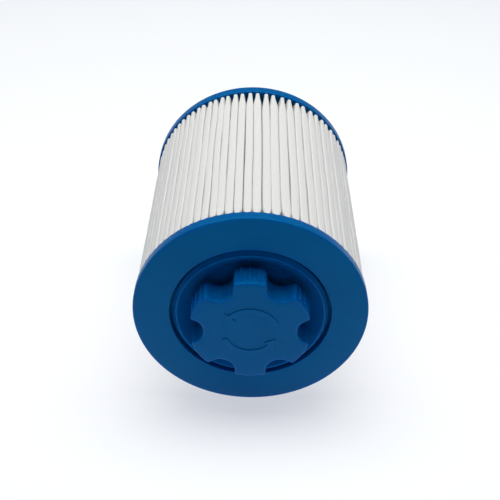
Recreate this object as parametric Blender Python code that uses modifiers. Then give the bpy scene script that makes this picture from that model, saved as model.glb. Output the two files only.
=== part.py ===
"""Pleated filter cartridge for a spa or small pool, with a screw-in grip lid.

The cartridge is modelled upright on its own axis: z = 0 is the outer face of the rear end cap and the
grip lid is at the top. One empty then lays it down, so that it rests on the rims of its two end caps
with its length along Y, the lid facing -Y and the threaded spigot facing +Y.
"""
import math

import bmesh
import bpy
from mathutils import Matrix

MM = 0.001

# Driving dimensions
CAP_RADIUS = 75.0 * MM
BODY_LENGTH = 174.0 * MM
FRONT_RIM = 7.0 * MM
REAR_RIM = 8.3 * MM
GAP = 0.3 * MM
FACETS = 32

# End cap pans and the potting that fills them
CAP_PLATE = 2.5 * MM
CAP_CHAMFER = 0.6 * MM
PAN_WALL = 2.2 * MM
LID_RECESS_RADIUS = 51.5 * MM
SPIGOT_HOLE_RADIUS = 25.0 * MM

# Perforated core
CORE_RADIUS = 48.0 * MM
CORE_BORE_RADIUS = 46.0 * MM
CORE_SECTIONS = ("core_rear_section", "core_middle_section", "core_front_section")
CORE_WINDOW_ROWS = 2
CORE_WINDOWS_PER_ROW = 12
CORE_BAR = 7.0 * MM
CORE_WINDOW_WIDTH = 17.0 * MM

# Pleated filter sheet
PLEATS = 83
PLEAT_TIP_RADIUS = 74.1 * MM
PLEAT_ROOT_RADIUS = 48.5 * MM
SHEET_THICKNESS = 0.6 * MM
PLEAT_TIP_WIDTH = 3.0 * MM

# Thread collar in the front cap, and the lid that screws into it
COLLAR_FLANGE_RADIUS = 51.2 * MM
COLLAR_FLANGE_TOP = 5.6 * MM
COLLAR_DEPTH = 19.0 * MM
COLLAR_BORE_RADIUS = 46.3 * MM
LID_RIM_RADIUS = 49.8 * MM
LID_CREST_RADIUS = 47.5 * MM
LID_RIM_CHAMFER = 1.4 * MM
LID_FLANGE = 3.2 * MM
LID_SKIRT_RADIUS = 44.6 * MM
LID_SKIRT_DEPTH = 18.0 * MM
LID_WALL = 2.0 * MM
BOWL_LIP_RADIUS = 46.5 * MM
BOWL_FLOOR_RADIUS = 40.0 * MM
BOWL_DEPTH = 10.0 * MM
BOWL_FLOOR = 2.5 * MM
HUB_RADIUS = 23.7 * MM
HUB_WALL = 2.5 * MM
THREAD_STARTS = 4
THREAD_LEAD = 16.0 * MM
THREAD_LUG_SWEEP = math.radians(60)
THREAD_LUG_WIDTH = 1.4 * MM
LID_LUG_CREST = 45.8 * MM
LID_LUG_DEPTH = 16.5 * MM
COLLAR_LUG_CREST = 45.1 * MM
LUG_ROOTING = 0.6 * MM

# Lid gasket
GASKET_INNER_RADIUS = 47.0 * MM
GASKET_OUTER_RADIUS = 49.5 * MM

# Grip knob: six lobes parted by round scallops
KNOB_HEIGHT = 15.4 * MM
KNOB_SKIRT_DEPTH = 0.5 * MM
KNOB_RADIUS = 38.4 * MM
KNOB_LOBES = 6
SCALLOP_RADIUS = 9.5 * MM
SCALLOP_CENTRE = 38.7 * MM
LOBE_CORNER = 2.1 * MM
KNOB_TOP_WALL = 2.8 * MM
KNOB_POCKET_RADIUS = HUB_RADIUS + GAP

# Threaded spigot at the rear
ADAPTER_FLANGE_RADIUS = 45.7 * MM
ADAPTER_FLANGE = 3.2 * MM
SPIGOT_LENGTH = 20.0 * MM
SPIGOT_RADIUS = 24.15 * MM
SPIGOT_ROOT_RADIUS = 23.0 * MM
SPIGOT_BORE_RADIUS = 19.0 * MM
SPIGOT_PITCH = 2.2 * MM
SPIGOT_THREAD_START = 17.6 * MM
SPIGOT_THREAD_TURNS = 5
SPIGOT_SHOULDER = 3.6 * MM
WASHER_INNER_RADIUS = 24.6 * MM
WASHER_OUTER_RADIUS = 31.0 * MM
WASHER_THICKNESS = 2.5 * MM

MEDIA_BOTTOM = REAR_RIM + GAP
MEDIA_TOP = BODY_LENGTH - FRONT_RIM - GAP

# The end caps are 32-sided and rest on a flat, so the axis is one apothem above the floor.
AXIS_HEIGHT = CAP_RADIUS * math.cos(math.pi / FACETS)
MID_LENGTH = (BODY_LENGTH + KNOB_HEIGHT - SPIGOT_LENGTH) / 2


def clear_scene():
    for obj in list(bpy.data.objects):
        bpy.data.objects.remove(obj, do_unlink=True)


def new_collection(name):
    collection = bpy.data.collections.new(name)
    bpy.context.scene.collection.children.link(collection)
    return collection


def new_empty(name, parent=None):
    empty = bpy.data.objects.new(name, None)
    PART.objects.link(empty)
    empty.parent = parent
    return empty


def new_material(name, colour, roughness):
    """Plastic, rubber or fabric with a plain colour given in linear RGB."""
    material = bpy.data.materials.new(name)
    material.use_nodes = True
    shader = material.node_tree.nodes["Principled BSDF"]
    shader.inputs["Base Color"].default_value = (*colour, 1.0)
    shader.inputs["Roughness"].default_value = roughness
    shader.inputs["Metallic"].default_value = 0.0
    return material


def at_depth(depth):
    """Height of a point that lies this far behind the front face."""
    return BODY_LENGTH - depth


def new_object(name, mesh, parent, material=None):
    obj = bpy.data.objects.new(name, mesh)
    if material is None:
        CUTTERS.objects.link(obj)
        obj.hide_render = True
        obj.display_type = "WIRE"
    else:
        PART.objects.link(obj)
        obj.data.materials.append(material)
    obj.parent = parent
    return obj


def turned(name, profile, parent, material, on_axis=False):
    """A body of revolution. The (radius, height) profile runs down the outer side."""
    mesh = bpy.data.meshes.new(name)
    points = [(radius, 0.0, height) for radius, height in profile]
    edges = [(index, index + 1) for index in range(len(points) - 1)]
    if not on_axis:
        edges.append((len(points) - 1, 0))
    mesh.from_pydata(points, edges, [])
    obj = new_object(name, mesh, parent, material)
    obj.rotation_euler.z = math.pi / FACETS
    screw = obj.modifiers.new("Turn", "SCREW")
    screw.angle = math.tau
    screw.steps = FACETS
    screw.render_steps = FACETS
    screw.use_merge_vertices = True
    screw.merge_threshold = 0.00001
    return obj


def ring_profile(inner, outer, bottom, top):
    return [(inner, top), (outer, top), (outer, bottom), (inner, bottom)]


def boolean(obj, tool, operation):
    modifier = obj.modifiers.new(f"{operation.title()} {tool.name}", "BOOLEAN")
    modifier.operation = operation
    modifier.solver = "EXACT"
    modifier.object = tool


def extruded_outline(name, loops, bottom, top, parent, material):
    """A flat outline of one or more closed loops, extruded from bottom to top as one solid mesh."""
    curve = bpy.data.curves.new(name, "CURVE")
    curve.dimensions = "2D"
    curve.fill_mode = "BOTH"
    curve.extrude = (top - bottom) / 2
    for loop in loops:
        spline = curve.splines.new("POLY")
        spline.points.add(len(loop) - 1)
        for point, (x, y) in zip(spline.points, loop):
            point.co = (x, y, 0.0, 1.0)
        spline.use_cyclic_u = True
    drawing = bpy.data.objects.new(name + "_drawing", curve)
    PART.objects.link(drawing)
    bpy.context.view_layer.update()
    graph = bpy.context.evaluated_depsgraph_get()
    mesh = bpy.data.meshes.new_from_object(drawing.evaluated_get(graph))
    bpy.data.objects.remove(drawing)
    work = bmesh.new()
    work.from_mesh(mesh)
    bmesh.ops.remove_doubles(work, verts=work.verts, dist=0.00001)
    work.to_mesh(mesh)
    work.free()
    mesh.name = name
    mesh.materials.clear()
    obj = new_object(name, mesh, parent, material)
    obj.location.z = (bottom + top) / 2
    return obj


def helical_ridges(name, root, crest, width, lead, start_height, sweep, starts, parent):
    """Thread ridges of trapezoid section, swept up a helix, one for each start."""
    section = ((root, -width / 2), (crest, -width / 4), (crest, width / 4), (root, width / 2))
    steps = max(3, round(sweep / math.tau * FACETS))
    work = bmesh.new()
    for start in range(starts):
        rings = []
        for step in range(steps + 1):
            turn = sweep * step / steps
            angle = math.tau * start / starts + turn + math.pi / FACETS
            rise = start_height + lead * turn / math.tau
            spots = [(r * math.cos(angle), r * math.sin(angle), rise + h) for r, h in section]
            rings.append([work.verts.new(spot) for spot in spots])
        for lower, upper in zip(rings, rings[1:]):
            for side in range(len(section)):
                after = (side + 1) % len(section)
                work.faces.new((lower[side], lower[after], upper[after], upper[side]))
        work.faces.new(rings[0])
        work.faces.new(rings[-1])
    bmesh.ops.recalc_face_normals(work, faces=work.faces)
    mesh = bpy.data.meshes.new(name)
    work.to_mesh(mesh)
    work.free()
    return new_object(name, mesh, parent)


def window_cutter(name, bottom, height, parent):
    """A ring of separate blocks that cut one row of windows through the core's wall."""
    work = bmesh.new()
    for index in range(CORE_WINDOWS_PER_ROW):
        spin = Matrix.Rotation(math.tau * (index + 0.5) / CORE_WINDOWS_PER_ROW, 4, "Z")
        middle = (CORE_RADIUS + CORE_BORE_RADIUS) / 2
        shift = Matrix.Translation((middle, 0.0, bottom + height / 2))
        size = Matrix.Diagonal((4 * (CORE_RADIUS - CORE_BORE_RADIUS), CORE_WINDOW_WIDTH, height, 1.0))
        bmesh.ops.create_cube(work, size=1.0, matrix=spin @ shift @ size)
    mesh = bpy.data.meshes.new(name)
    work.to_mesh(mesh)
    work.free()
    return new_object(name, mesh, parent)


def cylinder_cutter(name, radius, bottom, top, parent):
    work = bmesh.new()
    bmesh.ops.create_cone(
        work, cap_ends=True, segments=FACETS, radius1=radius, radius2=radius, depth=top - bottom)
    mesh = bpy.data.meshes.new(name)
    work.to_mesh(mesh)
    work.free()
    obj = new_object(name, mesh, parent)
    obj.location.z = (bottom + top) / 2
    return obj


def arc(centre, radius, start, end, steps):
    """Points along a circular arc, both ends included."""
    points = []
    for step in range(steps + 1):
        angle = start + (end - start) * step / steps
        points.append((centre[0] + radius * math.cos(angle), centre[1] + radius * math.sin(angle)))
    return points


def knob_outline():
    """Six lobes of KNOB_RADIUS, parted by scallops, with a round corner where the two meet."""
    reach = KNOB_RADIUS - LOBE_CORNER
    spread = SCALLOP_RADIUS + LOBE_CORNER
    cosine = (reach ** 2 + SCALLOP_CENTRE ** 2 - spread ** 2) / (2 * reach * SCALLOP_CENTRE)
    corner_angle = math.acos(cosine)
    corner_x = reach * math.cos(corner_angle)
    corner_y = reach * math.sin(corner_angle)
    touch = math.atan2(corner_y, corner_x - SCALLOP_CENTRE)
    half_sector = math.pi / KNOB_LOBES

    half = arc((SCALLOP_CENTRE, 0.0), SCALLOP_RADIUS, math.pi, touch, 4)
    half += arc((corner_x, corner_y), LOBE_CORNER, touch - math.pi, corner_angle, 4)[1:]
    half += arc((0.0, 0.0), KNOB_RADIUS, corner_angle, half_sector, 2)[1:]
    sector = [(x, -y) for x, y in reversed(half[1:])] + half
    outline = []
    for lobe in range(KNOB_LOBES):
        turn = math.tau * lobe / KNOB_LOBES
        cosine, sine = math.cos(turn), math.sin(turn)
        outline += [(x * cosine - y * sine, x * sine + y * cosine) for x, y in sector[:-1]]
    return outline


def pleat_loops():
    """The outer and inner sides of one folded sheet, as a pair of closed zigzag loops."""
    pitch = math.tau / PLEATS
    half_tip = PLEAT_TIP_WIDTH / 2
    half_root = 0.4 * MM
    shoulder = 0.8 * MM
    outer, inner = [], []
    for pleat in range(PLEATS):
        ridge = pleat * pitch
        valley = ridge + pitch / 2
        outer += [
            polar(PLEAT_TIP_RADIUS - shoulder, ridge, -half_tip),
            polar(PLEAT_TIP_RADIUS, ridge, -half_tip / 2),
            polar(PLEAT_TIP_RADIUS, ridge, half_tip / 2),
            polar(PLEAT_TIP_RADIUS - shoulder, ridge, half_tip),
            polar(PLEAT_ROOT_RADIUS + SHEET_THICKNESS, valley, -half_root),
            polar(PLEAT_ROOT_RADIUS + SHEET_THICKNESS, valley, half_root),
        ]
        inner += [
            polar(PLEAT_TIP_RADIUS - SHEET_THICKNESS - shoulder, ridge, SHEET_THICKNESS - half_tip),
            polar(PLEAT_TIP_RADIUS - SHEET_THICKNESS - shoulder, ridge, half_tip - SHEET_THICKNESS),
            polar(PLEAT_ROOT_RADIUS, valley, -half_root - SHEET_THICKNESS / 2),
            polar(PLEAT_ROOT_RADIUS, valley, half_root + SHEET_THICKNESS / 2),
        ]
    return outer, inner


def polar(radius, angle, sideways):
    """A point at this radius and angle, moved sideways along the tangent."""
    return (
        radius * math.cos(angle) - sideways * math.sin(angle),
        radius * math.sin(angle) + sideways * math.cos(angle),
    )


def make_front_end_cap(axis):
    recess, rim = LID_RECESS_RADIUS, CAP_RADIUS
    top, plate, bottom = BODY_LENGTH, at_depth(CAP_PLATE), at_depth(FRONT_RIM)
    profile = [
        (recess, top),
        (rim - CAP_CHAMFER, top),
        (rim, top - CAP_CHAMFER),
        (rim, bottom),
        (rim - PAN_WALL, bottom),
        (rim - PAN_WALL, plate),
        (recess + PAN_WALL, plate),
        (recess + PAN_WALL, bottom),
        (recess, bottom),
    ]
    turned("front_end_cap", profile, axis, BLUE)


def make_rear_end_cap(axis):
    hole, rim = SPIGOT_HOLE_RADIUS, CAP_RADIUS
    profile = [
        (hole, CAP_PLATE),
        (rim - PAN_WALL, CAP_PLATE),
        (rim - PAN_WALL, REAR_RIM),
        (rim, REAR_RIM),
        (rim, CAP_CHAMFER),
        (rim - CAP_CHAMFER, 0.0),
        (hole, 0.0),
    ]
    turned("rear_end_cap", profile, axis, BLUE)


def make_potting(axis):
    """The resin rings that seal the ends of the pleats into the two pans."""
    outer = CAP_RADIUS - PAN_WALL - GAP
    inner = LID_RECESS_RADIUS + PAN_WALL + GAP
    front = ring_profile(inner, outer, at_depth(FRONT_RIM), at_depth(CAP_PLATE + GAP))
    turned("front_potting", front, axis, RESIN)
    rear = ring_profile(CORE_RADIUS + GAP, outer, CAP_PLATE + GAP, REAR_RIM)
    turned("rear_potting", rear, axis, RESIN)


def make_core(axis):
    """A perforated cage in stacked sections, which holds the pleats open against the flow."""
    bottom = CAP_PLATE + GAP
    span = at_depth(COLLAR_DEPTH) - GAP - bottom
    length = (span - GAP * (len(CORE_SECTIONS) - 1)) / len(CORE_SECTIONS)
    window = (length - CORE_BAR * (CORE_WINDOW_ROWS + 1)) / CORE_WINDOW_ROWS
    for index, name in enumerate(CORE_SECTIONS):
        low = bottom + index * (length + GAP)
        profile = ring_profile(CORE_BORE_RADIUS, CORE_RADIUS, low, low + length)
        section = turned(name, profile, axis, WHITE)
        for row in range(CORE_WINDOW_ROWS):
            sill = low + CORE_BAR + row * (window + CORE_BAR)
            cutter = window_cutter(f"{name}_windows_{row}", sill, window, axis)
            boolean(section, cutter, "DIFFERENCE")


def make_pleated_media(axis):
    extruded_outline("pleated_media", pleat_loops(), MEDIA_BOTTOM, MEDIA_TOP, axis, FABRIC)


def make_thread_collar(axis):
    top, flange, bottom = at_depth(COLLAR_FLANGE_TOP), at_depth(FRONT_RIM), at_depth(COLLAR_DEPTH)
    profile = [
        (COLLAR_BORE_RADIUS, top),
        (COLLAR_FLANGE_RADIUS, top),
        (COLLAR_FLANGE_RADIUS, flange),
        (CORE_RADIUS, flange),
        (CORE_RADIUS, bottom),
        (COLLAR_BORE_RADIUS, bottom),
    ]
    collar = turned("thread_collar", profile, axis, BLUE)
    half_pitch = THREAD_LEAD / THREAD_STARTS / 2
    ridges = helical_ridges(
        "collar_lugs", COLLAR_BORE_RADIUS + LUG_ROOTING, COLLAR_LUG_CREST, THREAD_LUG_WIDTH,
        THREAD_LEAD, at_depth(LID_LUG_DEPTH - half_pitch), THREAD_LUG_SWEEP, THREAD_STARTS, axis)
    boolean(collar, ridges, "UNION")


def make_lid_gasket(lid_axis):
    top = at_depth(LID_FLANGE + GAP)
    bottom = at_depth(COLLAR_FLANGE_TOP - GAP)
    profile = ring_profile(GASKET_INNER_RADIUS, GASKET_OUTER_RADIUS, bottom, top)
    turned("lid_gasket", profile, lid_axis, RUBBER)


def make_lid_dish(lid_axis):
    """A round dish: rim, threaded skirt, finger bowl and the hub that carries the knob."""
    hub_top = BODY_LENGTH + KNOB_HEIGHT - KNOB_TOP_WALL - GAP
    floor, underside = at_depth(BOWL_DEPTH), at_depth(BOWL_DEPTH + BOWL_FLOOR)
    skirt_bore = LID_SKIRT_RADIUS - LID_WALL
    profile = [
        (0.0, hub_top),
        (HUB_RADIUS - 1.2 * MM, hub_top),
        (HUB_RADIUS, hub_top - 1.2 * MM),
        (HUB_RADIUS, floor + 1.0 * MM),
        (HUB_RADIUS + 1.0 * MM, floor),
        (BOWL_FLOOR_RADIUS, floor),
        (BOWL_LIP_RADIUS, at_depth(0.8 * MM)),
        (LID_CREST_RADIUS, BODY_LENGTH),
        (LID_RIM_RADIUS, at_depth(LID_RIM_CHAMFER)),
        (LID_RIM_RADIUS, at_depth(LID_FLANGE)),
        (LID_SKIRT_RADIUS, at_depth(LID_FLANGE)),
        (LID_SKIRT_RADIUS, at_depth(LID_SKIRT_DEPTH)),
        (skirt_bore, at_depth(LID_SKIRT_DEPTH)),
        (skirt_bore, at_depth(BOWL_DEPTH)),
        (BOWL_FLOOR_RADIUS, underside),
        (HUB_RADIUS, underside),
        (HUB_RADIUS - HUB_WALL, underside + 1.0 * MM),
        (HUB_RADIUS - HUB_WALL, hub_top - HUB_WALL),
        (0.0, hub_top - HUB_WALL),
    ]
    dish = turned("lid_dish", profile, lid_axis, BLUE, on_axis=True)
    ridges = helical_ridges(
        "lid_lugs", LID_SKIRT_RADIUS - LUG_ROOTING, LID_LUG_CREST, THREAD_LUG_WIDTH,
        THREAD_LEAD, at_depth(LID_LUG_DEPTH), THREAD_LUG_SWEEP, THREAD_STARTS, lid_axis)
    boolean(dish, ridges, "UNION")


def make_grip_knob(lid_axis):
    """The lobed knob is a hollow moulding that caps the dish's hub and overhangs the bowl."""
    top = BODY_LENGTH + KNOB_HEIGHT
    bottom = at_depth(KNOB_SKIRT_DEPTH)
    knob = extruded_outline("grip_knob", [knob_outline()], bottom, top, lid_axis, BLUE)
    pocket = cylinder_cutter(
        "knob_pocket", KNOB_POCKET_RADIUS, bottom - 2.0 * MM, top - KNOB_TOP_WALL, lid_axis)
    pocket.rotation_euler.z = math.pi / FACETS
    boolean(knob, pocket, "DIFFERENCE")


def make_thread_adapter(axis):
    """Flange inside the core, and the threaded spigot that screws into the filter housing."""
    flange_bottom = CAP_PLATE + GAP
    profile = [
        (SPIGOT_BORE_RADIUS, flange_bottom + ADAPTER_FLANGE),
        (ADAPTER_FLANGE_RADIUS, flange_bottom + ADAPTER_FLANGE),
        (ADAPTER_FLANGE_RADIUS, flange_bottom),
        (SPIGOT_RADIUS, flange_bottom),
        (SPIGOT_RADIUS, -SPIGOT_SHOULDER),
        (SPIGOT_ROOT_RADIUS, -SPIGOT_SHOULDER - 0.6 * MM),
        (SPIGOT_ROOT_RADIUS, 0.6 * MM - SPIGOT_LENGTH),
        (SPIGOT_ROOT_RADIUS - 0.6 * MM, -SPIGOT_LENGTH),
        (SPIGOT_BORE_RADIUS, -SPIGOT_LENGTH),
    ]
    adapter = turned("thread_adapter", profile, axis, BLUE)
    ridge = helical_ridges(
        "spigot_thread", SPIGOT_ROOT_RADIUS - LUG_ROOTING, SPIGOT_RADIUS, 1.6 * MM,
        SPIGOT_PITCH, -SPIGOT_THREAD_START, SPIGOT_THREAD_TURNS * math.tau, 1, axis)
    boolean(adapter, ridge, "UNION")


def make_adapter_gasket(axis):
    profile = ring_profile(
        WASHER_INNER_RADIUS, WASHER_OUTER_RADIUS, -GAP - WASHER_THICKNESS, -GAP)
    turned("adapter_gasket", profile, axis, RUBBER)


def freeze(obj):
    """Turn the modifiers' result into the object's own mesh, shaded smooth between sharp edges."""
    graph = bpy.context.evaluated_depsgraph_get()
    mesh = bpy.data.meshes.new_from_object(obj.evaluated_get(graph))
    mesh.name = obj.name
    mesh.shade_smooth()
    mesh.set_sharp_from_angle(angle=math.radians(35))
    return mesh


def freeze_all():
    bpy.context.view_layer.update()
    solids = [obj for obj in PART.objects if obj.type == "MESH"]
    frozen = [(obj, freeze(obj)) for obj in solids]
    for obj, mesh in frozen:
        obj.modifiers.clear()
        obj.data = mesh


clear_scene()
PART = new_collection("filter_cartridge")
CUTTERS = new_collection("cutters")
BLUE = new_material("blue_plastic", (0.001, 0.040, 0.155), 0.38)
WHITE = new_material("white_plastic", (0.72, 0.73, 0.74), 0.45)
RESIN = new_material("potting_resin", (0.002, 0.080, 0.220), 0.35)
FABRIC = new_material("spunbond_polyester", (0.74, 0.75, 0.77), 0.90)
RUBBER = new_material("black_rubber", (0.020, 0.020, 0.022), 0.70)

cartridge_axis = new_empty("cartridge_axis")
cartridge_axis.location = (0.0, MID_LENGTH, AXIS_HEIGHT)
cartridge_axis.rotation_euler.x = math.pi / 2
lid_turn_axis = new_empty("lid_turn_axis", cartridge_axis)

make_front_end_cap(cartridge_axis)
make_rear_end_cap(cartridge_axis)
make_potting(cartridge_axis)
make_core(cartridge_axis)
make_pleated_media(cartridge_axis)
make_thread_collar(cartridge_axis)
make_lid_gasket(lid_turn_axis)
make_lid_dish(lid_turn_axis)
make_grip_knob(lid_turn_axis)
make_thread_adapter(cartridge_axis)
make_adapter_gasket(cartridge_axis)
freeze_all()
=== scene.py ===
"""Looks of a pleated filter cartridge with a screw-in grip lid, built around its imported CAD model.

Pieces are modelled in millimetres on the cartridge's own axis: z = 0 is the rear cap's outer face and
z = LENGTH the front cap's. AXIS carries them into the row frame, where the axis lies along Y.
"""
import math
import random

import bmesh
import bpy
from mathutils import Matrix, Vector, noise


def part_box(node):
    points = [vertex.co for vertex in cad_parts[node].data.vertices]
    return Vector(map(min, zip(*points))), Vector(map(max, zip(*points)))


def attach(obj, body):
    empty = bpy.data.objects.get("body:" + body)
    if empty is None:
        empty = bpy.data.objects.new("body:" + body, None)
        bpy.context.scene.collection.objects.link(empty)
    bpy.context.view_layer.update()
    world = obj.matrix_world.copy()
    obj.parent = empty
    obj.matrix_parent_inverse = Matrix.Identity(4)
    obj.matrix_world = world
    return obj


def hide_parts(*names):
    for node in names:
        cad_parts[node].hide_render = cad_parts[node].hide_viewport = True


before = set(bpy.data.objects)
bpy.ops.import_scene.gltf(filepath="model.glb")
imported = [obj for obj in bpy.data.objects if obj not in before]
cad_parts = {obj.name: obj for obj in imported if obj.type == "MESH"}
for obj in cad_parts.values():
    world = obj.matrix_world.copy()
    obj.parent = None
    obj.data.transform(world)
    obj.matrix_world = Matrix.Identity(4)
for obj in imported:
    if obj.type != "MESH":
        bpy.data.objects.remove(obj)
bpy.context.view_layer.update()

MM = 0.001
CAD_FACETS = 32
SEGMENTS = 192
CORNER_STEPS = 6
SHARP_ANGLE = math.radians(40)

# Places and sizes read from the CAD model
FRONT_LOW, FRONT_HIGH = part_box("front_end_cap")
REAR_LOW, REAR_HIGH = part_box("rear_end_cap")
KNOB_LOW, KNOB_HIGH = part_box("grip_knob")
_, SPIGOT_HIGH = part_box("thread_adapter")
AXIS_HEIGHT = (FRONT_LOW.z + FRONT_HIGH.z) / 2
FACET_SHRINK = math.cos(math.pi / CAD_FACETS)
CAP_RADIUS = (FRONT_HIGH.x - FRONT_LOW.x) / 2 / FACET_SHRINK / MM
LENGTH = (REAR_HIGH.y - FRONT_LOW.y) / MM
FRONT_RIM = (FRONT_HIGH.y - FRONT_LOW.y) / MM
REAR_RIM = (REAR_HIGH.y - REAR_LOW.y) / MM
KNOB_TOP = LENGTH + (FRONT_LOW.y - KNOB_LOW.y) / MM
KNOB_BOTTOM = LENGTH - (KNOB_HIGH.y - FRONT_LOW.y) / MM
SPIGOT_LENGTH = (SPIGOT_HIGH.y - REAR_HIGH.y) / MM
AXIS = Matrix.Translation((0.0, REAR_HIGH.y, AXIS_HEIGHT)) @ Matrix.Rotation(math.pi / 2, 4, "X")

# Caps, lid and core, in millimetres
CAP_PLATE = 2.5
PAN_WALL = 2.2
RECESS_RADIUS = 51.6
LID_RIM_RADIUS = 49.8
LID_CREST_RADIUS = 47.5
BOWL_LIP_RADIUS = 46.9
BOWL_FLOOR_RADIUS = 35.0
BOWL_DEPTH = 10.0
BOWL_WALL = 2.4
SKIRT_RADIUS = 44.6
SKIRT_WALL = 2.0
SKIRT_DEPTH = 18.0
LID_FLANGE = 3.2
HUB_RADIUS = 23.7
HUB_WALL = 2.5
KNOB_TOP_WALL = 2.8
COLLAR_TOP = 5.6
COLLAR_DEPTH = 19.0
COLLAR_BORE = 46.3
CORE_RADIUS = 48.0
SPIGOT_HOLE = 25.0
SPIGOT_RADIUS = 24.15
SPIGOT_ROOT = 23.0
SPIGOT_BORE = 19.0
SPIGOT_PITCH = 2.2
SPIGOT_FLANGE_RADIUS = 45.7
SPIGOT_FLANGE_THICKNESS = 3.2
WASHER_BORE, WASHER_RADIUS, WASHER_THICKNESS = 24.6, 31.0, 2.8
LID_SEAL_BORE, LID_SEAL_RADIUS = 47.0, 49.5
SKIN_GAP = 0.1
RESIN_CREEP = 0.5

# Four-start lug thread between lid and collar
STARTS = 4
LEAD = 16.0
LUG_SWEEP = math.radians(60)
LUG_HALF_WIDTH = 0.7
LID_LUG_DEPTH = 16.5
LID_LUG_HEIGHT = 1.2
COLLAR_LUG_HEIGHT = 1.2

# Grip knob outline
KNOB_RADIUS = 38.4
LOBES = 6
SCALLOP_RADIUS = 9.5
SCALLOP_CENTRE = 38.7
LOBE_CORNER = 2.1
KNOB_WALL = 1.9
KNOB_EDGE = 1.0
RIB_SPACING = 5.3
RIB_HALF_WIDTH = 0.68
RIB_HEIGHT = 0.95
RIB_END = 3.2

# Pleated sheet
PLEATS = 83
TIP_RADIUS = 73.9
ROOT_RADIUS = 49.1
SHEET_THICKNESS = 0.5
LEVELS = 44
END_CROWDING = 0.09
PINCH_LENGTH = 20.0
FRONT_PINCH_SHARE = 0.45
FOLD_CLEARANCE = 0.08

# The folds near the top stand straighter, in degrees round the axis
TOP_FOLD_ANGLE = 93.0
TOP_FOLD_SPREAD = 14.0

# Turn arrows on the knob's face: start and sweep in degrees, then (raised by, inset) from the foot up
ARROW_STARTS = (20, 200)
ARROW_SWEEP = 140
ARROW_LEVELS = ((-0.3, 0.0), (0.25, 0.0), (0.5, 0.25))

# Plastic colours: the darker and lighter end of the flow marks
CAP_COLOURS = ((0.0, 0.080, 0.258), (0.0, 0.089, 0.278))
LID_COLOURS = ((0.0, 0.076, 0.262), (0.0, 0.084, 0.282))
RESIN_COLOURS = ((0.0, 0.080, 0.255), (0.0, 0.090, 0.278))
CORE_COLOURS = ((0.74, 0.75, 0.76), (0.80, 0.81, 0.82))

# Sheen, and the share, colours and depth in metres of the light that soaks into the blue plastic
BLUE_GLOSS = (0.0, 1.0, 0.85)
WHITE_GLOSS = (1.0, 1.0, 1.0)
BLUE_GLOW = 0.5
GLOW_RADII = (0.05, 0.26, 1.0)
GLOW_DEPTH = 0.008

# Painted shade: the fabric turns greener and a little darker deep between the folds, between these
# distances from the axis, in metres
PAINTED_FOLD_SHADE_RADII = (0.066, 0.0725)

# Where the camera stands from the middle of the front face, and which way it looks, in degrees
CAMERA_OFFSET = (0.0044, -0.4052, 0.3532)
CAMERA_TILT = 53.375
CAMERA_TURN = 0.657


# ---------------------------------------------------------------- mesh helpers

def finished(obj, body, slot, material, *nodes):
    """Place a piece on the axis, give it its material and body, and hide the CAD nodes it stands for."""
    obj.matrix_world = AXIS
    obj.data.materials.clear()
    obj.data.materials.append(material)
    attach(obj, body)
    if nodes:
        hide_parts(*nodes)
    return obj


def object_from(name, points, faces, smooth_angle=SHARP_ANGLE):
    """A mesh object from points in millimetres, with its faces turned outwards and shaded smooth."""
    mesh = bpy.data.meshes.new(name)
    mesh.from_pydata([(x * MM, y * MM, z * MM) for x, y, z in points], [], faces)
    work = bmesh.new()
    work.from_mesh(mesh)
    bmesh.ops.recalc_face_normals(work, faces=work.faces)
    work.to_mesh(mesh)
    work.free()
    mesh.shade_smooth()
    mesh.set_sharp_from_angle(angle=smooth_angle)
    obj = bpy.data.objects.new(name, mesh)
    bpy.context.scene.collection.objects.link(obj)
    return obj


def rounded(corners):
    """A closed (radius, height) outline. A corner is (r, z), or (r, z, fillet) where it is rounded."""
    outline = []
    for index, corner in enumerate(corners):
        spot = Vector(corner[:2])
        fillet = corner[2] if len(corner) > 2 else 0.0
        if not fillet:
            outline.append((spot.x, spot.y))
            continue
        before = (Vector(corners[index - 1][:2]) - spot).normalized()
        after = (Vector(corners[(index + 1) % len(corners)][:2]) - spot).normalized()
        half = before.angle(after) / 2
        centre = spot + (before + after).normalized() * (fillet / math.sin(half))
        start = spot + before * (fillet / math.tan(half)) - centre
        end = spot + after * (fillet / math.tan(half)) - centre
        turn = math.atan2(start.x * end.y - start.y * end.x, start.dot(end))
        for step in range(CORNER_STEPS + 1):
            arm = Matrix.Rotation(turn * step / CORNER_STEPS, 2) @ start
            outline.append((centre.x + arm.x, centre.y + arm.y))
    return outline


def divided(outline, longest, low, high):
    """The outline with its upright stretches between two heights cut into short ones."""
    result = []
    for index, (r0, z0) in enumerate(outline):
        r1, z1 = outline[(index + 1) % len(outline)]
        result.append((r0, z0))
        inside = low <= min(z0, z1) and max(z0, z1) <= high
        upright = abs(r1 - r0) < 0.01
        count = math.ceil(abs(z1 - z0) / longest) if inside and upright else 1
        for step in range(1, count):
            part = step / count
            result.append((r0 + (r1 - r0) * part, z0 + (z1 - z0) * part))
    return result


def turned(name, outline, shape=None, segments=SEGMENTS):
    """A body of revolution. shape(radius, height, angle) may move each point."""
    points, rings = [], []
    for radius, height in outline:
        if radius < 1e-6:
            rings.append([len(points)] * segments)
            points.append((0.0, 0.0, height))
            continue
        rings.append(list(range(len(points), len(points) + segments)))
        for segment in range(segments):
            angle = math.tau * segment / segments
            r, z = (radius, height) if shape is None else shape(radius, height, angle)
            points.append((r * math.cos(angle), r * math.sin(angle), z))
    on_axis = outline[0][0] < 1e-6
    pairs = list(zip(rings, rings[1:]))
    if not on_axis:
        pairs.append((rings[-1], rings[0]))
    faces = []
    for upper, lower in pairs:
        for here in range(segments):
            there = (here + 1) % segments
            corners = (upper[here], upper[there], lower[there], lower[here])
            faces.append(tuple(dict.fromkeys(corners)))
    return object_from(name, points, faces)


def smooth_step(value):
    value = min(1.0, max(0.0, value))
    return value * value * (3.0 - 2.0 * value)


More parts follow.
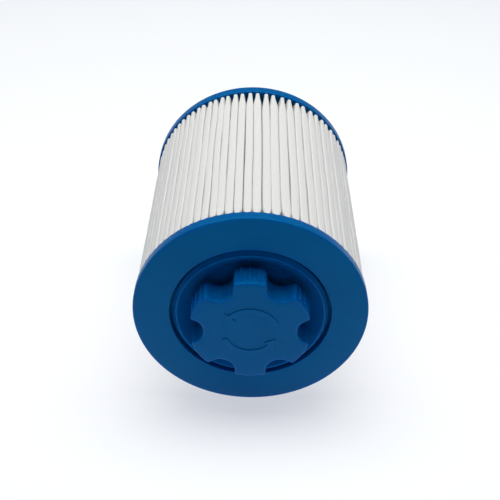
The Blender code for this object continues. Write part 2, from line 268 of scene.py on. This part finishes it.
def lug_height(angle, height, first_height):
    """From 0 to 1: how far a point of the wall stands on one of the helical thread lugs."""
    share = 0.0
    for start in range(STARTS):
        turn = (angle - math.tau * start / STARTS) % math.tau
        if turn > LUG_SWEEP:
            continue
        away = abs(height - first_height - LEAD * turn / math.tau)
        side = smooth_step((LUG_HALF_WIDTH + 0.1 - away) / 0.45)
        end = smooth_step(min(turn, LUG_SWEEP - turn) / math.radians(3))
        share = max(share, side * end)
    return share


# ---------------------------------------------------------------- materials

def nodes_of(material):
    material.use_nodes = True
    tree = material.node_tree
    return tree, tree.nodes["Principled BSDF"]


def add_node(tree, kind, **settings):
    node = tree.nodes.new(kind)
    for name, value in settings.items():
        if name.startswith("in_"):
            node.inputs[name[3:].replace("_", " ")].default_value = value
        else:
            setattr(node, name, value)
    return node


def noise_of(tree, scale, detail=3.0, stretch=None):
    """Noise in the piece's own metres, stretched along its axes when asked."""
    place = add_node(tree, "ShaderNodeTexCoord")
    source = place.outputs["Object"]
    if stretch is not None:
        mapping = add_node(tree, "ShaderNodeMapping")
        mapping.inputs["Scale"].default_value = stretch
        tree.links.new(source, mapping.inputs["Vector"])
        source = mapping.outputs["Vector"]
    grain = add_node(tree, "ShaderNodeTexNoise", in_Scale=scale, in_Detail=detail)
    tree.links.new(source, grain.inputs["Vector"])
    return grain.outputs["Fac"]


def ranged(tree, source, low, high):
    """A noise value of about 0.3 to 0.7 spread over the range low to high."""
    spread = add_node(tree, "ShaderNodeMapRange")
    for name, value in (("From Min", 0.3), ("From Max", 0.7), ("To Min", low), ("To Max", high)):
        spread.inputs[name].default_value = value
    tree.links.new(source, spread.inputs["Value"])
    return spread.outputs["Result"]


def mixed(tree, factor, first, second):
    mix = add_node(tree, "ShaderNodeMix", data_type="RGBA")
    tree.links.new(factor, mix.inputs["Factor"])
    for socket, value in ((mix.inputs[6], first), (mix.inputs[7], second)):
        if isinstance(value, tuple):
            socket.default_value = (*value, 1.0)
        else:
            tree.links.new(value, socket)
    return mix.outputs[2]


def bumped(tree, shader, layers):
    """Chain bump layers onto the shader's normal. Each is (height socket, distance in metres, strength)."""
    normal = None
    for height, distance, strength in layers:
        bump = add_node(tree, "ShaderNodeBump", in_Distance=distance, in_Strength=strength)
        tree.links.new(height, bump.inputs["Height"])
        if normal is not None:
            tree.links.new(normal, bump.inputs["Normal"])
        normal = bump.outputs["Normal"]
    tree.links.new(normal, shader.inputs["Normal"])


def moulded_plastic(name, colours, roughness, tint, glow):
    """Satin moulded plastic: faint flow marks in its colour and a fine, slightly uneven skin.

    Light soaks into it a little, by the share glow, and comes out bluer.
    """
    material = bpy.data.materials.new(name)
    tree, shader = nodes_of(material)
    cloud = ranged(tree, noise_of(tree, 38.0, 4.0), 0.0, 1.0)
    tree.links.new(mixed(tree, cloud, *colours), shader.inputs["Base Color"])
    patch = ranged(tree, noise_of(tree, 160.0, 4.0), roughness - 0.05, roughness + 0.06)
    tree.links.new(patch, shader.inputs["Roughness"])
    shader.inputs["Specular Tint"].default_value = (*tint, 1.0)
    shader.inputs["IOR"].default_value = 1.33
    shader.inputs["Specular IOR Level"].default_value = 0.4
    shader.inputs["Subsurface Weight"].default_value = glow
    shader.inputs["Subsurface Radius"].default_value = GLOW_RADII
    shader.inputs["Subsurface Scale"].default_value = GLOW_DEPTH
    grain = noise_of(tree, 2600.0, 2.0)
    swell = noise_of(tree, 55.0, 2.0)
    bumped(tree, shader, ((swell, 0.0004, 0.25), (grain, 0.00004, 0.35)))
    return material


def spunbond():
    """Spunbond polyester: matt white, flecked with fibres, with painted shade that turns it greener and a
    little darker deep between the folds.
    """
    material = bpy.data.materials.new("spunbond_polyester")
    tree, shader = nodes_of(material)
    place = add_node(tree, "ShaderNodeTexCoord")
    flat = add_node(tree, "ShaderNodeVectorMath", operation="MULTIPLY")
    flat.inputs[1].default_value = (1.0, 1.0, 0.0)
    tree.links.new(place.outputs["Object"], flat.inputs[0])
    radius = add_node(tree, "ShaderNodeVectorMath", operation="LENGTH")
    tree.links.new(flat.outputs["Vector"], radius.inputs[0])
    # Painted shade: towards the axis the fabric is mixed to a greener, slightly darker colour
    depth = add_node(tree, "ShaderNodeMapRange", interpolation_type="SMOOTHSTEP")
    depth.inputs["From Min"].default_value, depth.inputs["From Max"].default_value = PAINTED_FOLD_SHADE_RADII
    tree.links.new(radius.outputs["Value"], depth.inputs["Value"])
    fleck = ranged(tree, noise_of(tree, 900.0, 4.0), 0.0, 1.0)
    white = mixed(tree, fleck, (0.58, 0.58, 0.57), (0.625, 0.625, 0.615))
    colour = mixed(tree, depth.outputs["Result"], (0.56, 0.62, 0.59), white)
    tree.links.new(colour, shader.inputs["Base Color"])
    shader.inputs["Roughness"].default_value = 0.85
    shader.inputs["Specular IOR Level"].default_value = 0.25
    shader.inputs["Sheen Weight"].default_value = 0.15
    fibre = noise_of(tree, 1500.0, 5.0, stretch=(1.0, 1.0, 0.35))
    mottle = noise_of(tree, 420.0, 3.0)
    crease = noise_of(tree, 70.0, 2.0, stretch=(1.0, 1.0, 0.15))
    bumped(tree, shader, ((crease, 0.0006, 0.25), (mottle, 0.0002, 0.25), (fibre, 0.0001, 0.35)))
    return material


def seal_rubber():
    material = bpy.data.materials.new("seal_rubber")
    tree, shader = nodes_of(material)
    bloom = ranged(tree, noise_of(tree, 220.0, 4.0), 0.0, 1.0)
    colour = mixed(tree, bloom, (0.014, 0.014, 0.016), (0.032, 0.032, 0.034))
    tree.links.new(colour, shader.inputs["Base Color"])
    tree.links.new(ranged(tree, bloom, 0.55, 0.75), shader.inputs["Roughness"])
    bumped(tree, shader, ((noise_of(tree, 1800.0, 3.0), 0.00005, 0.4),))
    return material


CAP_BLUE = moulded_plastic("cap_blue", CAP_COLOURS, 0.40, BLUE_GLOSS, BLUE_GLOW)
LID_BLUE = moulded_plastic("lid_blue", LID_COLOURS, 0.36, BLUE_GLOSS, BLUE_GLOW)
RESIN_BLUE = moulded_plastic("potting_blue", RESIN_COLOURS, 0.30, BLUE_GLOSS, BLUE_GLOW)
CORE_WHITE = moulded_plastic("core_white", CORE_COLOURS, 0.45, WHITE_GLOSS, 0.0)
MARK_BLUE = moulded_plastic("mark_blue", LID_COLOURS, 0.36, BLUE_GLOSS, 0.0)
FABRIC = spunbond()
RUBBER = seal_rubber()


# ---------------------------------------------------------------- the pleats' places

def pleat_angles():
    """The angle of each fold's tip. The spacing drifts round the cartridge, and folds close up in pairs."""
    draw = random.Random(7)
    gaps = []
    for pleat in range(PLEATS):
        angle = math.tau * pleat / PLEATS
        drift = 0.10 * math.cos(3 * (angle - math.radians(62)))
        right_side = smooth_step(0.5 + math.cos(angle - math.radians(45)))
        pairing = (0.03 + 0.09 * right_side) * (1 if pleat % 2 else -1)
        gaps.append(1.0 + drift + pairing + draw.uniform(-0.07, 0.07))
    total = sum(gaps)
    angles = []
    reached = 0.0
    for gap in gaps:
        angles.append(math.tau * reached / total)
        reached += gap
    return angles


PLEAT_ANGLES = pleat_angles()


def nearest_fold(angle):
    """From 0 on a fold's tip to 1 midway between two tips."""
    after = PLEAT_ANGLES + [PLEAT_ANGLES[0] + math.tau]
    angle %= math.tau
    for low, high in zip(after, after[1:]):
        if low <= angle <= high:
            part = (angle - low) / (high - low)
            return 1.0 - abs(2.0 * part - 1.0)
    return 0.0


# ---------------------------------------------------------------- pieces of the housing

def make_front_cap():
    top, bottom, rim = LENGTH, LENGTH - FRONT_RIM, CAP_RADIUS
    inner = RECESS_RADIUS + PAN_WALL
    outline = rounded([
        (RECESS_RADIUS, top, 0.45),
        (rim, top, 0.9),
        (rim, bottom, 0.35),
        (rim - PAN_WALL, bottom),
        (rim - PAN_WALL, top - CAP_PLATE),
        (inner, top - CAP_PLATE),
        (inner, bottom),
        (RECESS_RADIUS, bottom),
    ])

    def shape(radius, height, angle):
        """The resin creeps up the folds, so the rim's back edge dips on every tip."""
        if radius > rim - PAN_WALL - 0.1 and height < bottom + 0.5:
            height += RESIN_CREEP * (0.5 - nearest_fold(angle))
        return radius, height

    cap = turned("front_cap", outline, shape, segments=PLEATS * 8)
    finished(cap, "housing", "cap_plastic", CAP_BLUE, "front_end_cap")


def make_rear_cap():
    rim = CAP_RADIUS
    outline = rounded([
        (SPIGOT_HOLE, CAP_PLATE),
        (rim - PAN_WALL, CAP_PLATE),
        (rim - PAN_WALL, REAR_RIM - 0.3, 0.2),
        (rim - 0.9, REAR_RIM, 0.4),
        (rim, REAR_RIM, 0.5),
        (rim, 0.0, 0.9),
        (69.0, 0.0, 0.3),
        (68.4, 0.6, 0.2),
        (67.2, 0.6, 0.2),
        (66.6, 0.0, 0.3),
        (SPIGOT_HOLE, 0.0, 0.5),
    ])
    finished(turned("rear_cap", outline), "housing", "cap_plastic", CAP_BLUE, "rear_end_cap")


def make_potting():
    outer = CAP_RADIUS - PAN_WALL + 0.1
    inner = RECESS_RADIUS + PAN_WALL - 0.1
    front_face = LENGTH - FRONT_RIM + 0.3
    front = rounded([
        (inner, LENGTH - CAP_PLATE - 0.3),
        (outer, LENGTH - CAP_PLATE - 0.3),
        (outer, front_face - 0.2),
        (outer - 2.0, front_face),
        (inner, front_face),
    ])
    piece = turned("front_potting_ring", front)
    finished(piece, "housing", "potting_resin", RESIN_BLUE, "front_potting")
    rear = rounded([
        (CORE_RADIUS + 0.3, REAR_RIM - 0.5),
        (outer - 2.0, REAR_RIM - 0.5),
        (outer, REAR_RIM - 0.3),
        (outer, CAP_PLATE + 0.3),
        (CORE_RADIUS + 0.3, CAP_PLATE + 0.3),
    ])
    piece = turned("rear_potting_ring", rear)
    finished(piece, "housing", "potting_resin", RESIN_BLUE, "rear_potting")


def make_collar():
    top, bottom = LENGTH - COLLAR_TOP, LENGTH - COLLAR_DEPTH
    outline = rounded([
        (COLLAR_BORE, top, 0.3),
        (RECESS_RADIUS - 0.05, top, 0.2),
        (RECESS_RADIUS - 0.05, LENGTH - FRONT_RIM),
        (CORE_RADIUS, LENGTH - FRONT_RIM),
        (CORE_RADIUS, bottom, 0.3),
        (COLLAR_BORE, bottom, 0.3),
    ])
    first = LENGTH - LID_LUG_DEPTH + LEAD / STARTS / 2

    def shape(radius, height, angle):
        if abs(radius - COLLAR_BORE) < 0.01:
            radius -= COLLAR_LUG_HEIGHT * lug_height(angle, height, first)
        return radius, height

    collar = turned("collar", divided(outline, 0.25, bottom, top), shape)
    finished(collar, "housing", "cap_plastic", CAP_BLUE, "thread_collar")


def make_spigot():
    flange = CAP_PLATE + 0.3
    tip = -SPIGOT_LENGTH
    outline = rounded([
        (SPIGOT_BORE, flange + SPIGOT_FLANGE_THICKNESS, 0.8),
        (SPIGOT_FLANGE_RADIUS, flange + SPIGOT_FLANGE_THICKNESS, 0.5),
        (SPIGOT_FLANGE_RADIUS, flange),
        (SPIGOT_RADIUS, flange),
        (SPIGOT_RADIUS, -3.6, 0.3),
        (SPIGOT_ROOT, -4.4),
        (SPIGOT_ROOT, tip + 0.8),
        (SPIGOT_ROOT - 0.8, tip, 0.2),
        (SPIGOT_BORE, tip, 0.6),
    ])
    thread_low, thread_high = tip + 1.0, -4.6

    def shape(radius, height, angle):
        """A rounded thread of one start, which runs out at both ends."""
        if abs(radius - SPIGOT_ROOT) < 0.01:
            phase = (height / SPIGOT_PITCH - angle / math.tau) % 1.0
            tooth = smooth_step((0.5 - abs(phase - 0.5)) * 2.9 - 0.35)
            ends = min(height - thread_low, thread_high - height)
            radius += (SPIGOT_RADIUS - SPIGOT_ROOT) * tooth * smooth_step(ends / 1.2)
        return radius, height

    spigot = turned("threaded_spigot", divided(outline, 0.16, tip + 0.5, -4.3), shape)
    finished(spigot, "housing", "cap_plastic", CAP_BLUE, "thread_adapter")
    washer = rounded([
        (WASHER_BORE, -SKIN_GAP, 0.5),
        (WASHER_RADIUS, -SKIN_GAP, 0.5),
        (WASHER_RADIUS, -WASHER_THICKNESS, 0.6),
        (WASHER_BORE, -WASHER_THICKNESS, 0.6),
    ])
    piece = turned("spigot_washer", washer)
    finished(piece, "housing", "seal_rubber", RUBBER, "adapter_gasket")


def make_core():
    """The core's cage keeps its CAD shape: it only shows through the folds' open bore."""
    for name in ("core_front_section", "core_middle_section", "core_rear_section"):
        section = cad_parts[name]
        section.data.materials.clear()
        section.data.materials.append(CORE_WHITE)


# ---------------------------------------------------------------- the pleated sheet

def side_profile():
    """One flank of a fold from its tip to its root: (radius, pinched, full).

    Pinched is a half width in millimetres. Full is a share of the room to the next fold.
    """
    return (
        (TIP_RADIUS, 0.45, 0.46),
        (TIP_RADIUS - 0.10, 0.85, 0.76),
        (TIP_RADIUS - 0.40, 1.20, 0.90),
        (TIP_RADIUS - 1.00, 1.42, 0.96),
        (TIP_RADIUS - 2.20, 1.52, 0.975),
        (TIP_RADIUS - 4.50, 1.60, 0.985),
        (TIP_RADIUS - 8.00, 1.62, 0.93),
        (TIP_RADIUS - 13.5, 1.50, 0.78),
        (ROOT_RADIUS + 4.0, 1.45, 0.72),
        (ROOT_RADIUS + 0.5, 1.40, 0.75),
        (ROOT_RADIUS, 1.55, 0.92),
    )


def fold_habits():
    """How each fold differs from the next. Those near the top stand straighter."""
    draw = random.Random(21)
    habits = []
    for angle in PLEAT_ANGLES:
        near_top = abs(math.degrees(angle) - TOP_FOLD_ANGLE) < TOP_FOLD_SPREAD
        full = draw.uniform(0.94, 1.02)
        habits.append({
            "height": draw.uniform(-0.35, 0.35),
            "full": full,
            "lean": draw.uniform(-0.3, 0.3) * (0.4 if near_top else 1.0),
            "sway": 0.3 if near_top else 0.6,
            "wander": draw.uniform(0.0, 100.0),
            "pinch": PINCH_LENGTH * draw.uniform(0.75, 1.35),
        })
    return habits


def make_media():
    habits = fold_habits()
    flank = side_profile()
    low, high = REAR_RIM - 1.5, LENGTH - FRONT_RIM + 0.6
    heights = []
    for level in range(LEVELS):
        part = level / (LEVELS - 1)
        heights.append(low + (high - low) * (part - END_CROWDING * math.sin(math.tau * part)))
    points, rings = [], []
    for height in heights:
        ring = []
        for pleat, habit in enumerate(habits):
            centre = PLEAT_ANGLES[pleat]
            before = (centre - PLEAT_ANGLES[pleat - 1]) % math.tau / 2
            after = (PLEAT_ANGLES[(pleat + 1) % PLEATS] - centre) % math.tau / 2
            rise = smooth_step((height - REAR_RIM) / habit["pinch"])
            front_pinch = FRONT_PINCH_SHARE * habit["pinch"]
            fall = smooth_step((LENGTH - FRONT_RIM - height) / front_pinch + 0.25)
            swell = rise * fall * habit["full"]
            drift = noise.noise(Vector((habit["wander"], height * 0.017, 0.0)))
            lean = rise * fall * (habit["lean"] + habit["sway"] * drift)
            ripple = noise.noise(Vector((habit["wander"], height * 0.05, 5.0)))
            lift = habit["height"] * rise + 0.25 * ripple
            sides = [(-1, before)] * len(flank) + [(1, after)] * len(flank)
            for (side, room), (radius, pinched, share) in zip(sides, flank[::-1] + flank):
                tip_share = smooth_step((radius - 60.0) / 12.0)
                width = pinched + swell * (share * room * radius - pinched)
                width = min(width, room * radius - FOLD_CLEARANCE)
                angle = centre + (side * width + lean * tip_share) / radius
                reach = radius + lift * tip_share
                ring.append(len(points))
                points.append((reach * math.cos(angle), reach * math.sin(angle), height))
        rings.append(ring)
    faces = []
    around = len(rings[0])
    for lower, upper in zip(rings, rings[1:]):
        for here in range(around):
            there = (here + 1) % around
            faces.append((lower[here], lower[there], upper[there], upper[here]))
    media = object_from("pleated_sheet", points, faces, math.radians(75))
    shell = media.modifiers.new("Cloth thickness", "SOLIDIFY")
    shell.thickness = SHEET_THICKNESS * MM
    shell.offset = -1.0
    finished(media, "housing", "filter_fabric", FABRIC, "pleated_media")


# ---------------------------------------------------------------- the lid

def make_dish():
    top = LENGTH
    hub_top = KNOB_TOP - KNOB_TOP_WALL - 0.3
    floor, underside = top - BOWL_DEPTH, top - BOWL_DEPTH - BOWL_WALL
    bore = SKIRT_RADIUS - SKIRT_WALL
    outline = rounded([
        (0.0, hub_top),
        (HUB_RADIUS, hub_top, 1.2),
        (HUB_RADIUS, floor, 1.6),
        (BOWL_FLOOR_RADIUS, floor, 7.0),
        (BOWL_LIP_RADIUS - 0.3, top + 0.05, 0.45),
        (LID_CREST_RADIUS + 0.1, top + 0.35, 0.35),
        (LID_CREST_RADIUS + 0.6, top - 0.7, 0.12),
        (LID_RIM_RADIUS, top - 2.3, 0.45),
        (LID_RIM_RADIUS, top - LID_FLANGE, 0.3),
        (SKIRT_RADIUS, top - LID_FLANGE),
        (SKIRT_RADIUS, top - SKIRT_DEPTH, 0.5),
        (bore, top - SKIRT_DEPTH, 0.5),
        (bore, underside + 3.0, 1.0),
        (BOWL_FLOOR_RADIUS + 2.0, underside, 4.0),
        (HUB_RADIUS - HUB_WALL, underside, 0.8),
        (HUB_RADIUS - HUB_WALL, hub_top - HUB_WALL, 1.0),
        (0.0, hub_top - HUB_WALL),
    ])
    first = top - LID_LUG_DEPTH

    def shape(radius, height, angle):
        if abs(radius - SKIRT_RADIUS) < 0.01:
            radius += LID_LUG_HEIGHT * lug_height(angle, height, first)
        return radius, height

    ready = divided(outline, 0.25, top - SKIRT_DEPTH, top - LID_FLANGE)
    dish = turned("lid_dish_shell", ready, shape, segments=SEGMENTS + 64)
    finished(dish, "lid", "lid_plastic", LID_BLUE, "lid_dish")


def make_gasket():
    high, low = LENGTH - LID_FLANGE - 0.2, LENGTH - COLLAR_TOP + 0.2
    inner, outer = LID_SEAL_BORE, LID_SEAL_RADIUS
    outline = rounded([(inner, high, 0.8), (outer, high, 0.8), (outer, low, 0.8), (inner, low, 0.8)])
    finished(turned("lid_seal_ring", outline), "seal", "seal_rubber", RUBBER, "lid_gasket")


def knob_rim():
    """Points round the knob: place, outward direction, and distance along a lobe's face or None."""
    reach = KNOB_RADIUS - LOBE_CORNER
    spread = SCALLOP_RADIUS + LOBE_CORNER
    cosine = (reach ** 2 + SCALLOP_CENTRE ** 2 - spread ** 2) / (2 * reach * SCALLOP_CENTRE)
    corner = math.acos(cosine)
    corner_x, corner_y = reach * math.cos(corner), reach * math.sin(corner)
    touch = math.atan2(corner_y, corner_x - SCALLOP_CENTRE)
    half_sector = math.pi / LOBES
    scallop_steps, corner_steps, face_steps = 18, 10, 60
    half = []
    for step in range(scallop_steps):
        angle = math.pi + (touch - math.pi) * step / scallop_steps
        x, y = math.cos(angle), math.sin(angle)
        half.append((SCALLOP_CENTRE + SCALLOP_RADIUS * x, SCALLOP_RADIUS * y, -x, -y, None))
    for step in range(corner_steps):
        angle = touch - math.pi + (corner - touch + math.pi) * step / corner_steps
        x, y = math.cos(angle), math.sin(angle)
        half.append((corner_x + LOBE_CORNER * x, corner_y + LOBE_CORNER * y, x, y, None))
    for step in range(face_steps + 1):
        angle = corner + (half_sector - corner) * step / face_steps
        x, y = math.cos(angle), math.sin(angle)
        half.append((KNOB_RADIUS * x, KNOB_RADIUS * y, x, y, KNOB_RADIUS * (angle - half_sector)))
    mirrored = [(x, -y, nx, -ny, None if s is None else -s) for x, y, nx, ny, s in half[:0:-1]]
    rim = []
    for lobe in range(LOBES):
        turn = math.tau * lobe / LOBES
        c, s = math.cos(turn), math.sin(turn)
        for x, y, nx, ny, along in (mirrored + half)[:-1]:
            rim.append((x * c - y * s, x * s + y * c, nx * c - ny * s, nx * s + ny * c, along))
    return rim


def rib_height(along, height):
    """Three upright grip ribs on each lobe's face, with round upper ends."""
    if along is None:
        return 0.0
    end = KNOB_TOP - RIB_END
    tallest = 0.0
    for rib in (-1, 0, 1):
        across = (along - rib * RIB_SPACING) / RIB_HALF_WIDTH
        past = max(0.0, height - (end - RIB_HALF_WIDTH)) / RIB_HALF_WIDTH
        away = across * across + past * past
        if away < 1.0:
            tallest = max(tallest, RIB_HEIGHT * math.sqrt(1.0 - away))
    return tallest


def make_knob():
    rim = knob_rim()
    levels = [(KNOB_WALL, KNOB_TOP - KNOB_TOP_WALL), (KNOB_WALL, KNOB_BOTTOM + 0.3)]
    levels += [(KNOB_WALL - 0.3, KNOB_BOTTOM), (0.4, KNOB_BOTTOM), (0.12, KNOB_BOTTOM + 0.12)]
    wall_low, wall_high = KNOB_BOTTOM + 0.4, KNOB_TOP - RIB_END - 1.2
    levels += [(0.0, wall_low + (wall_high - wall_low) * step / 3) for step in range(4)]
    levels += [(0.0, wall_high + 1.4 * step / 14) for step in range(1, 15)]
    for step in range(CORNER_STEPS + 1):
        turn = math.pi / 2 * step / CORNER_STEPS
        levels.append((KNOB_EDGE * (1 - math.cos(turn)), KNOB_TOP - KNOB_EDGE * (1 - math.sin(turn))))
    points, rings = [], []

    def add_ring(inset, height, scale=1.0, ribbed=True):
        ring = []
        for x, y, nx, ny, along in rim:
            out = -inset
            if ribbed and inset < 0.5:
                out += rib_height(along, height)
            ring.append(len(points))
            points.append(((x + nx * out) * scale, (y + ny * out) * scale, height))
        rings.append(ring)

    def add_pole(height):
        rings.append([len(points)] * len(rim))
        points.append((0.0, 0.0, height))

    add_pole(KNOB_TOP - KNOB_TOP_WALL)
    add_ring(KNOB_WALL, KNOB_TOP - KNOB_TOP_WALL, 0.5)
    for inset, height in levels:
        add_ring(inset, height)
    for scale in (0.85, 0.6, 0.3):
        add_ring(KNOB_EDGE, KNOB_TOP, scale)
    add_pole(KNOB_TOP)
    faces = []
    for lower, upper in zip(rings, rings[1:]):
        for here in range(len(rim)):
            there = (here + 1) % len(rim)
            corners = (lower[here], lower[there], upper[there], upper[here])
            faces.append(tuple(dict.fromkeys(corners)))
    knob = object_from("grip_knob_shell", points, faces)
    finished(knob, "lid", "lid_plastic", LID_BLUE, "grip_knob")


def arrow_outline(start, sweep):
    """One curved arrow: an arc band that ends in a pointed head, wider than the band on both sides."""
    inner, outer, head, head_sweep = 15.2, 18.8, 2.8, math.radians(24)
    neck = start + sweep - head_sweep
    steps = 24
    angles = [start + (neck - start) * step / steps for step in range(steps + 1)]
    outline = [(outer * math.cos(a), outer * math.sin(a)) for a in angles]
    middle = (inner + outer) / 2
    outline.append(((outer + head) * math.cos(neck), (outer + head) * math.sin(neck)))
    outline.append((middle * math.cos(start + sweep), middle * math.sin(start + sweep)))
    outline.append(((inner - head) * math.cos(neck), (inner - head) * math.sin(neck)))
    outline += [(inner * math.cos(a), inner * math.sin(a)) for a in reversed(angles)]
    return outline


def make_turn_mark():
    """Two raised arrows on the knob's face, which show that it turns."""
    points, faces = [], []
    for start in ARROW_STARTS:
        outline = arrow_outline(math.radians(start), math.radians(ARROW_SWEEP))
        count = len(outline)
        first = len(points)
        for raised, inset in ARROW_LEVELS:
            for index, (x, y) in enumerate(outline):
                before, after = outline[index - 1], outline[(index + 1) % count]
                along = Vector((after[0] - before[0], after[1] - before[1])).normalized()
                points.append((x - along.y * inset, y + along.x * inset, KNOB_TOP + raised))
        for ring in range(2):
            low = first + ring * count
            for here in range(count):
                there = (here + 1) % count
                faces.append((low + here, low + there, low + count + there, low + count + here))
        faces.append(tuple(range(first, first + count)))
        faces.append(tuple(range(first + 2 * count, first + 3 * count)))
    mark = object_from("turn_arrows", points, faces)
    finished(mark, "lid", "lid_plastic", MARK_BLUE)


# ---------------------------------------------------------------- stage

def make_floor():
    """A plain pale floor that the round caps touch, lit a little from within like a light table."""
    bpy.ops.mesh.primitive_plane_add(size=60.0, location=(0.0, 0.0, AXIS_HEIGHT - CAP_RADIUS * MM))
    floor = bpy.context.object
    floor.name = "floor"
    material = bpy.data.materials.new("floor_white")
    tree, shader = nodes_of(material)
    shade = ranged(tree, noise_of(tree, 3.0, 2.0), 0.0, 1.0)
    colour = mixed(tree, shade, (0.40, 0.405, 0.41), (0.41, 0.415, 0.42))
    tree.links.new(colour, shader.inputs["Base Color"])
    shader.inputs["Emission Color"].default_value = (0.93, 0.95, 1.0, 1.0)
    shader.inputs["Emission Strength"].default_value = 0.58
    shader.inputs["Roughness"].default_value = 0.6
    shader.inputs["Specular IOR Level"].default_value = 0.2
    floor.data.materials.append(material)


def make_light(name, location, target, width, depth, power, colour):
    data = bpy.data.lights.new(name, "AREA")
    data.shape = "ELLIPSE"
    data.size = width
    data.size_y = depth
    data.energy = power
    data.color = colour
    light = bpy.data.objects.new(name, data)
    bpy.context.scene.collection.objects.link(light)
    light.location = location
    aim = Vector(target) - Vector(location)
    light.rotation_euler = aim.to_track_quat("-Z", "Y").to_euler()


def make_world():
    world = bpy.data.worlds.new("studio")
    bpy.context.scene.world = world
    world.use_nodes = True
    background = world.node_tree.nodes["Background"]
    background.inputs["Color"].default_value = (0.78, 0.86, 1.0, 1.0)
    background.inputs["Strength"].default_value = 0.15
    bpy.context.scene.view_settings.view_transform = "Standard"


def make_camera():
    """Looks down on the lid from straight ahead."""
    data = bpy.data.cameras.new("camera")
    data.sensor_width = 36.0
    data.lens = 60.63
    camera = bpy.data.objects.new("camera", data)
    bpy.context.scene.collection.objects.link(camera)
    face_centre = Vector((0.0, FRONT_LOW.y, AXIS_HEIGHT))
    camera.location = face_centre + Vector(CAMERA_OFFSET)
    camera.rotation_euler = (math.radians(CAMERA_TILT), 0.0, math.radians(CAMERA_TURN))
    data.clip_start = 0.01
    data.clip_end = 50.0
    bpy.context.scene.camera = camera


make_camera()
make_front_cap()
make_rear_cap()
make_potting()
make_collar()
make_spigot()
make_core()
make_media()
make_dish()
make_gasket()
make_knob()
make_turn_mark()
make_floor()
make_light(
    "top_softbox", location=(0.0, 0.18, 1.25), target=(0.0, 0.05, 0.0),
    width=2.0, depth=0.7, power=21.5, colour=(1.0, 1.0, 0.97))
make_light(
    "front_card", location=(0.0, -1.6, 0.45), target=(0.0, -0.1, 0.07),
    width=1.2, depth=0.6, power=3.6, colour=(0.8, 0.72, 1.0))
make_world()
